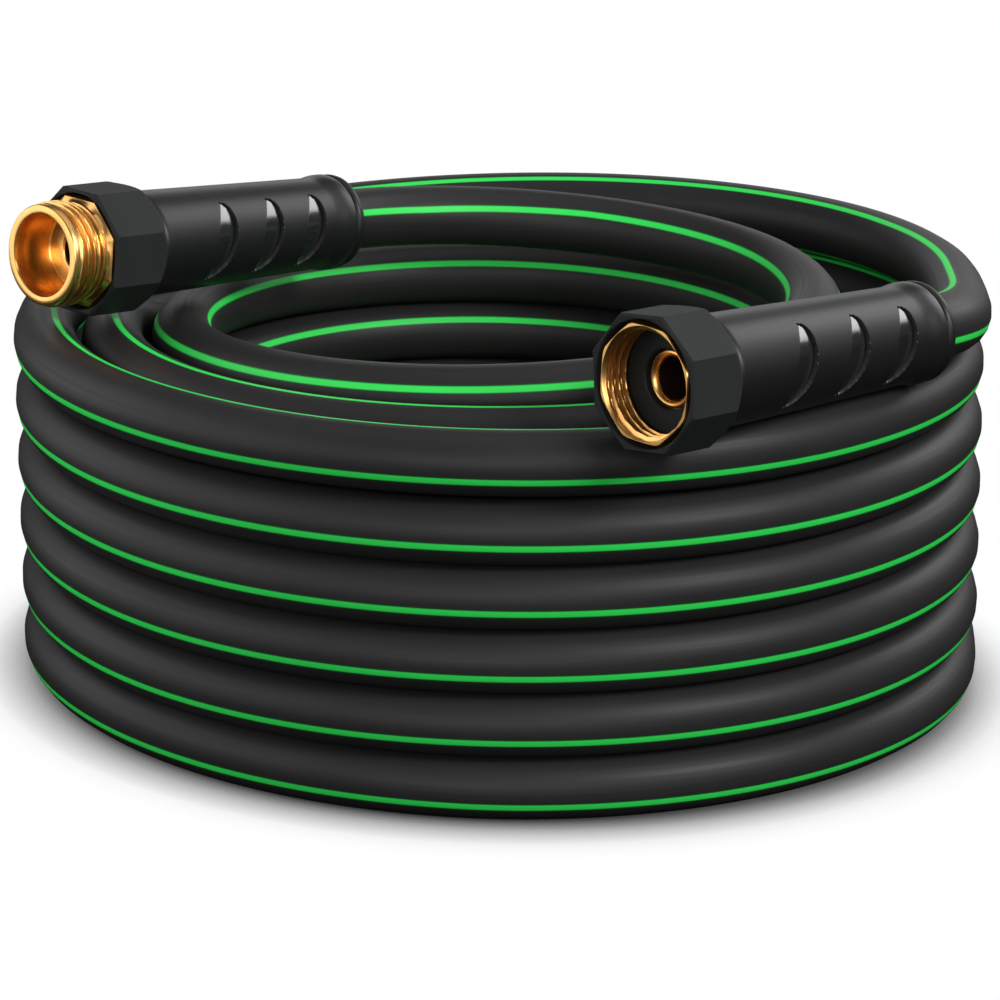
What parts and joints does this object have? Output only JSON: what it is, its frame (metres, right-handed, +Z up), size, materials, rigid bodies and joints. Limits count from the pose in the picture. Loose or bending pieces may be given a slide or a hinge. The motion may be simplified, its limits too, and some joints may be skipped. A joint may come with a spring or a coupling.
{
  "type": "garden hose",
  "caption": "Garden hose wound into a flat-standing coil, with stripes along it and a male and a female threaded brass coupling lying on top.",
  "frame": {"origin": "on the floor under the middle of the bounding box, 9.0 mm in front of the coil's own axis", "axes": "+Z up along the coil's axis; -Y is the side the picture was taken from; +X to the picture's right"},
  "size_m": [0.252, 0.2686, 0.1298],
  "materials": {
    "hose_rubber": "satin charcoal black with three bright green stripes along its length",
    "collar_plastic": "matte black, finely grained",
    "sleeve_plastic": "smooth black with a soft shine",
    "brass": "turned, bright golden orange",
    "washer_rubber": "matte black"
  },
  "bodies": {
    "hose": {"hose_coil": "hose_rubber", "hose_female_end": "hose_rubber", "hose_male_end": "hose_rubber", "female_tail": "brass", "female_sleeve": "sleeve_plastic", "male_stem": "brass", "male_collar": "collar_plastic", "male_sleeve": "sleeve_plastic"},
    "swivel": {"female_nut": "brass", "female_collar": "collar_plastic", "female_washer": "washer_rubber"}
  },
  "joints": [
    {"name": "nut_spin", "type": "hinge", "parent": "hose", "child": "swivel", "pos_m": [0.03028, -0.12236, 0.11284], "axis": [0.7222, 0.6909, -0.0321], "continuous": true}
  ]
}
